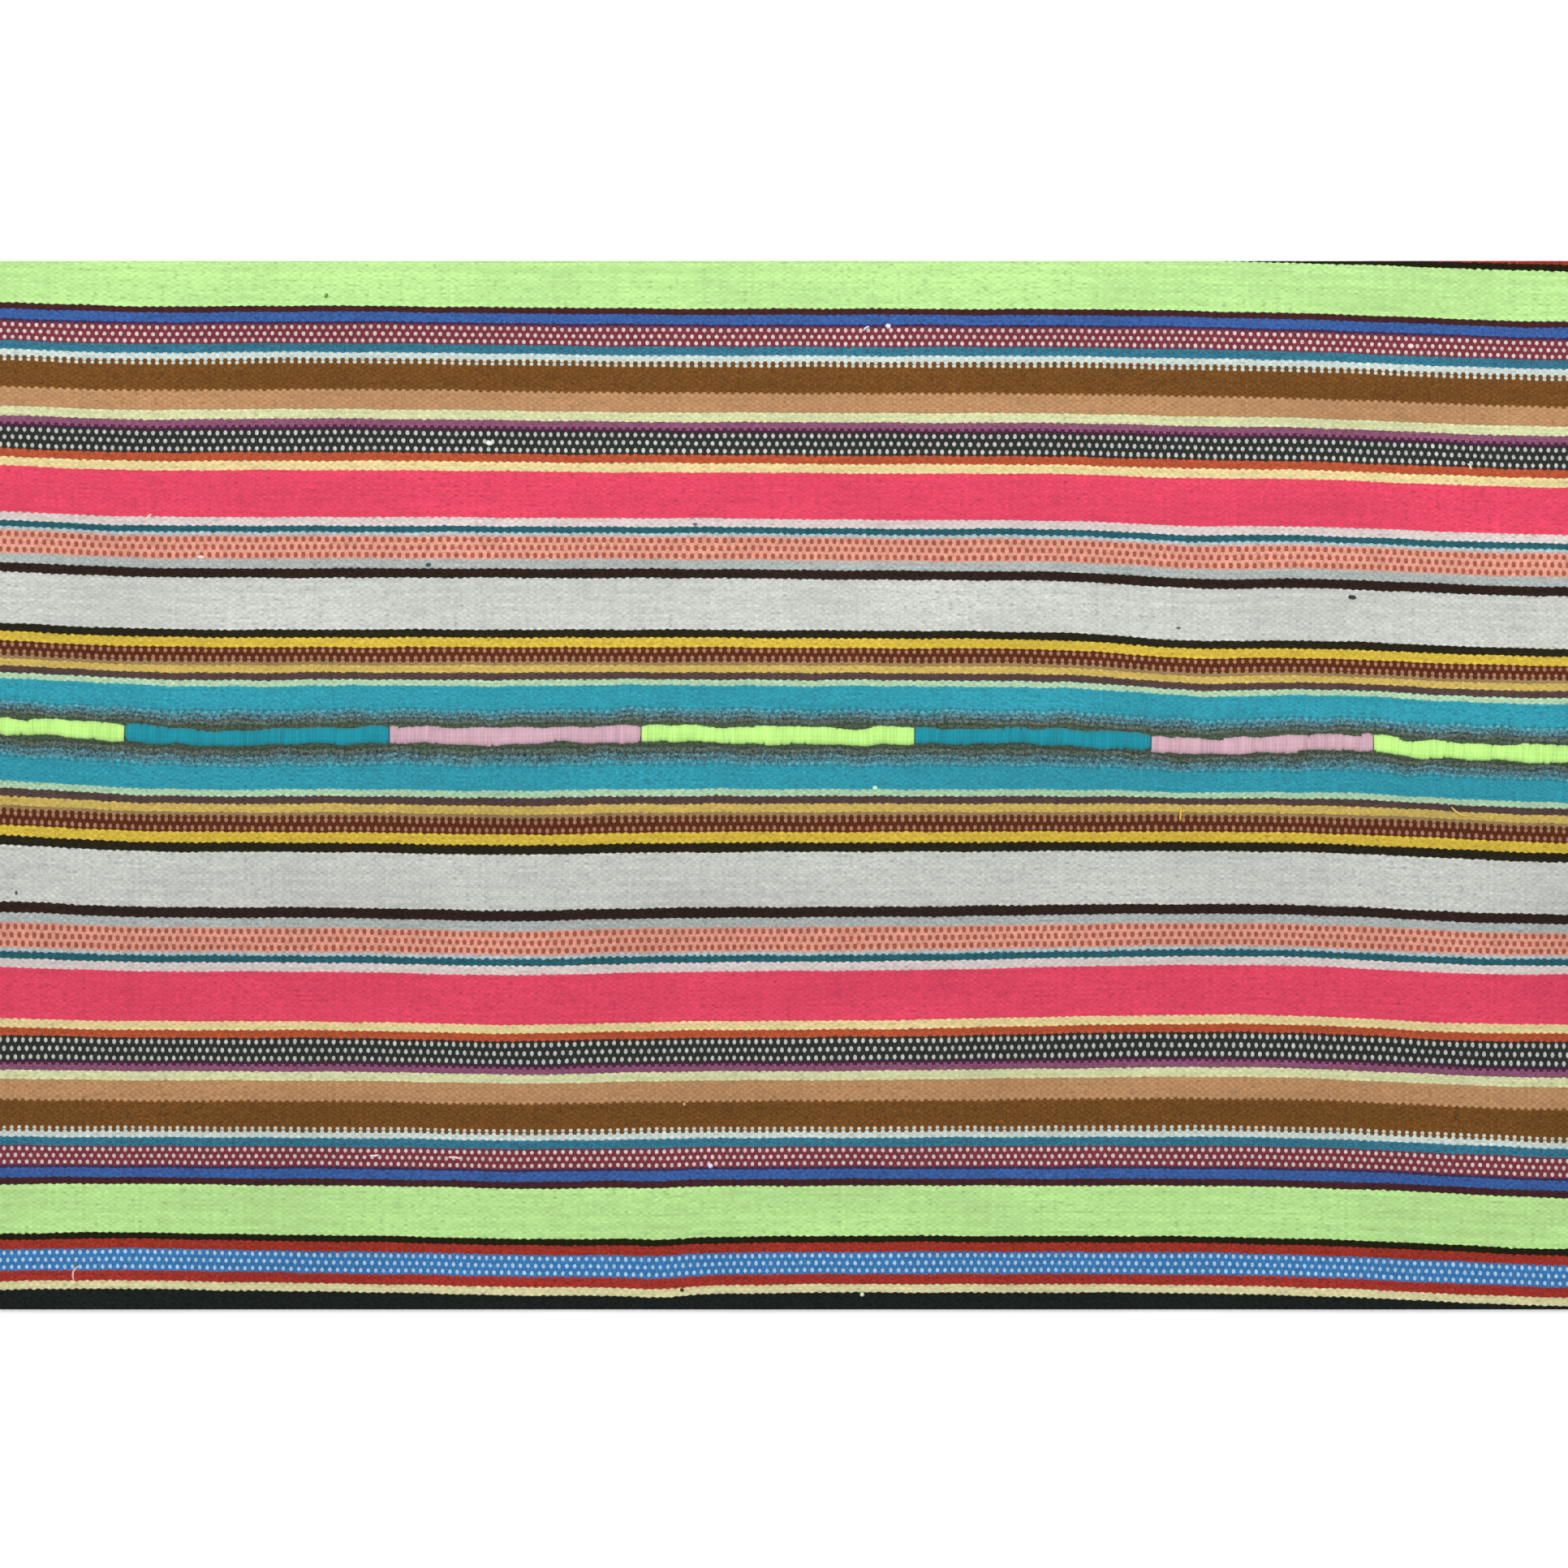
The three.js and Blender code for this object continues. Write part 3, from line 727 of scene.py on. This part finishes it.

    # then painted pit shade, hairs and heather darken it or lighten it
    pitShade = addNode(tree, "MapRange", [height, *look["pitShade"]])
    speckPlace = addNode(tree, "VectorMath", {0: mark, 1: weaveStep(look["speckSize"])},
                         operation="MULTIPLY")
    speck = addNode(tree, "TexNoise", {"Vector": speckPlace, "Scale": 1.0, "Detail": 0.0},
                    noise_dimensions="2D")
    speck = addNode(tree, "Math", {0: patch, 1: look["speckPatches"], 2: speck}, operation="MULTIPLY_ADD")
    hairs = addNode(tree, "MapRange", [speck, *look["hairs"]])
    heather = addNode(tree, "Attribute", {}, out="Fac", attribute_name="heather")
    offMean = addNode(tree, "Math", {0: fibres, 1: 0.5}, operation="SUBTRACT")
    heather = addNode(tree, "Math", {0: offMean, 1: heather, 2: 1.0}, operation="MULTIPLY_ADD")
    for part in (pitShade, hairs, heather):
        tone = addNode(tree, "Math", {0: tone, 1: part}, operation="MULTIPLY")
    shade = addNode(tree, "VectorMath", {0: yarn, "Scale": tone}, operation="SCALE")

    # bump: the float's round back and the loose fibres on it
    relief = addNode(tree, "Math", {0: fibres, 1: look["fuzz"], 2: height}, operation="MULTIPLY_ADD")
    bump = addNode(tree, "Bump", {
        "Height": relief, "Strength": look["bump"], "Distance": look["bumpDepth"] * mm})
    rough = addNode(tree, "MapRange", [height, *look["roughness"]])
    surface = addNode(tree, "BsdfPrincipled", {
        "Base Color": shade, "Roughness": rough, "Normal": bump, "IOR": 1.54,
        "Specular IOR Level": 0.12, "Sheen Weight": 0.06, "Sheen Roughness": 0.5})
    addNode(tree, "OutputMaterial", {"Surface": surface})
    return material


# Look of uncombed fibre: the size of its tufts in mm, and ranges from dark to pale tufts
uncombedWool = {
    "tuftSize": 0.4,         # tufts of many fibres, since single ones are too fine to show
    "tones": (0.3, 0.7, 0.8, 1.1),
    "roughness": (0.3, 0.7, 0.9, 1.0),
    "bump": 0.6,
    "bumpDepth": 0.2,
}


def looseWool(name):
    # uncombed wool fibre: fuzzy and fully matte, paler where the fibres splay
    look = uncombedWool
    material, tree = bareMaterial(name)
    place = addNode(tree, "TexCoord", {}, out="Object")
    fibres = addNode(tree, "TexNoise", {
        "Vector": place, "Scale": 1 / (look["tuftSize"] * mm), "Detail": 2.0})
    dye = addNode(tree, "Attribute", {}, attribute_name="dye")
    tone = addNode(tree, "MapRange", [fibres, *look["tones"]])
    shade = addNode(tree, "VectorMath", {0: dye, "Scale": tone}, operation="SCALE")
    bump = addNode(tree, "Bump", {
        "Height": fibres, "Strength": look["bump"], "Distance": look["bumpDepth"] * mm})
    rough = addNode(tree, "MapRange", [fibres, *look["roughness"]])
    surface = addNode(tree, "BsdfPrincipled", {
        "Base Color": shade, "Roughness": rough, "Normal": bump, "IOR": 1.54,
        "Specular IOR Level": 0.15, "Sheen Weight": 0.2, "Sheen Roughness": 0.5})
    addNode(tree, "OutputMaterial", {"Surface": surface})
    return material


# Look of the sewing yarn: dyes, sizes in mm, tones as shares of the dye, and a range of roughness
pliedYarn = {
    "dyes": {"lime": "bced83", "teal": "168a9b", "pink": "c9a3b0"},
    "plies": 14.0,           # slants of the ply in one turn round the seam
    "fibreSize": 0.6,        # bundles of fibre, drawn at 0.6 mm so that they show
    "patchSize": 9.0,
    "tone": 0.66,            # the least tone, to which the next four add
    "turnTone": 0.22,
    "fibreTone": 0.2,
    "patchTone": 0.3,
    "plyTone": 0.03,
    "plyRelief": 0.5,
    "roughness": (0.3, 0.7, 0.85, 0.97),
    "bump": 0.4,
    "bumpDepth": 0.15,
}


def sewingYarn(name, code):
    # plied wool sewing yarn: soft and matte, its plies a faint slant across each turn
    look = pliedYarn
    material, tree = bareMaterial(name)
    mark = addNode(tree, "UVMap", {}, uv_map="yarn")
    lengthwise = addNode(tree, "SeparateXYZ", {0: mark})
    crosswise = lengthwise.node.outputs[1]
    slope = addNode(tree, "Math", {0: lengthwise, 1: look["plies"], 2: crosswise},
                    operation="MULTIPLY_ADD")
    turn = addNode(tree, "Math", {0: slope, 1: 2 * math.pi}, operation="MULTIPLY")
    ply = addNode(tree, "Math", {0: turn}, operation="SINE")
    place = addNode(tree, "TexCoord", {}, out="Object")
    fibres = addNode(tree, "TexNoise", {
        "Vector": place, "Scale": 1 / (look["fibreSize"] * mm), "Detail": 2.0})
    patch = addNode(tree, "TexNoise", {
        "Vector": place, "Scale": 1 / (look["patchSize"] * mm), "Detail": 1.0})
    turnTone = addNode(tree, "Attribute", {}, out="Fac", attribute_name="turnTone")
    tone = look["tone"]
    for part, share in ((turnTone, look["turnTone"]), (fibres, look["fibreTone"]),
                        (patch, look["patchTone"]), (ply, look["plyTone"])):
        tone = addNode(tree, "Math", {0: part, 1: share, 2: tone}, operation="MULTIPLY_ADD")
    shade = addNode(tree, "VectorMath", {0: tuple(hexLinear(code)), "Scale": tone}, operation="SCALE")
    relief = addNode(tree, "Math", {0: ply, 1: look["plyRelief"], 2: fibres}, operation="MULTIPLY_ADD")
    bump = addNode(tree, "Bump", {
        "Height": relief, "Strength": look["bump"], "Distance": look["bumpDepth"] * mm})
    rough = addNode(tree, "MapRange", [fibres, *look["roughness"]])
    surface = addNode(tree, "BsdfPrincipled", {
        "Base Color": shade, "Roughness": rough, "Normal": bump, "IOR": 1.54,
        "Specular IOR Level": 0.2, "Sheen Weight": 0.15, "Sheen Roughness": 0.5})
    addNode(tree, "OutputMaterial", {"Surface": surface})
    return material


cloth = woolCloth("dyedWoolWarpFacedWeave")
fuzz = looseWool("uncombedWoolFibre")
panels, cutEnds = {}, {}
for name, side in (("panel_far", 1), ("panel_near", -1)):
    panels[side] = weavePanel(name + "_weave", side)
    panels[side].data.materials.append(cloth)
    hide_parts(name)
    cutEnds[side] = cutStubs(name + "_cut_ends", side)
    cutEnds[side].data.materials.append(fuzz)

lint = [fibreKnots("fibre_knots"), looseThreads("loose_threads")]
for piece in lint:
    piece.data.materials.append(fuzz)

yarns = {dye: sewingYarn(dye + "PliedWoolYarn", code) for dye, code in pliedYarn["dyes"].items()}
runs = []
for name, colour in seam["runs"]:
    runs.append(sewRun(name))
    runs[-1].data.materials.append(yarns[colour])
# Studio: pale floor, a wide soft light over the cloth and an even surround, with places in metres
studio = {
    "floorHalf": 25.0,
    "floorDye": "fafaf9",
    "floorCloud": 667,       # mm from one faintly rougher patch to the next
    "floorRoughness": (0.3, 0.7, 0.85, 0.95),
    "surround": 0.39,
    "softboxPlace": (0.0, 0.6, 2.5),
    "softboxSize": 2.6,
    "softboxPower": 68.0,
    "cameraHeight": 1.7095,
    "lens": 85.0,
    "sensor": 36.0,
    "pictureMiddle": 0.00056,
}


def paintedBoard(name):
    # matte painted board with a trace of unevenness
    material, tree = bareMaterial(name)
    place = addNode(tree, "TexCoord", {}, out="Object")
    cloud = addNode(tree, "TexNoise", {
        "Vector": place, "Scale": 1 / (studio["floorCloud"] * mm), "Detail": 2.0})
    rough = addNode(tree, "MapRange", [cloud, *studio["floorRoughness"]])
    surface = addNode(tree, "BsdfPrincipled", {
        "Base Color": (*hexLinear(studio["floorDye"]), 1.0), "Roughness": rough,
        "Specular IOR Level": 0.1})
    addNode(tree, "OutputMaterial", {"Surface": surface})
    return material


half = studio["floorHalf"]
floorMesh = bpy.data.meshes.new("floor")
floorCorners = [(-half, -half, 0), (half, -half, 0), (half, half, 0), (-half, half, 0)]
floorMesh.from_pydata(floorCorners, [], [(0, 1, 2, 3)])
floor = bpy.data.objects.new("floor", floorMesh)
bpy.context.collection.objects.link(floor)
floorMesh.materials.append(paintedBoard("palePaintedBoard"))

world = bpy.data.worlds.new("studioSurround")
world.use_nodes = True
world.node_tree.nodes["Background"].inputs["Color"].default_value = (1, 1, 1, 1)
world.node_tree.nodes["Background"].inputs["Strength"].default_value = studio["surround"]
bpy.context.scene.world = world

softbox = bpy.data.lights.new("softbox", "AREA")
softbox.shape = "SQUARE"
softbox.size = studio["softboxSize"]
softbox.energy = studio["softboxPower"]
lamp = bpy.data.objects.new("softbox", softbox)
bpy.context.collection.objects.link(lamp)
lamp.location = studio["softboxPlace"]
lamp.rotation_euler = (-math.atan2(studio["softboxPlace"][1], studio["softboxPlace"][2]), 0, 0)

lens = bpy.data.cameras.new("overhead")
lens.lens = studio["lens"]
lens.sensor_width = studio["sensor"]
camera = bpy.data.objects.new("overhead", lens)
bpy.context.collection.objects.link(camera)
camera.location = (0, studio["pictureMiddle"], studio["cameraHeight"])
bpy.context.scene.camera = camera
bpy.context.scene.view_settings.view_transform = "Standard"
print("studio set")
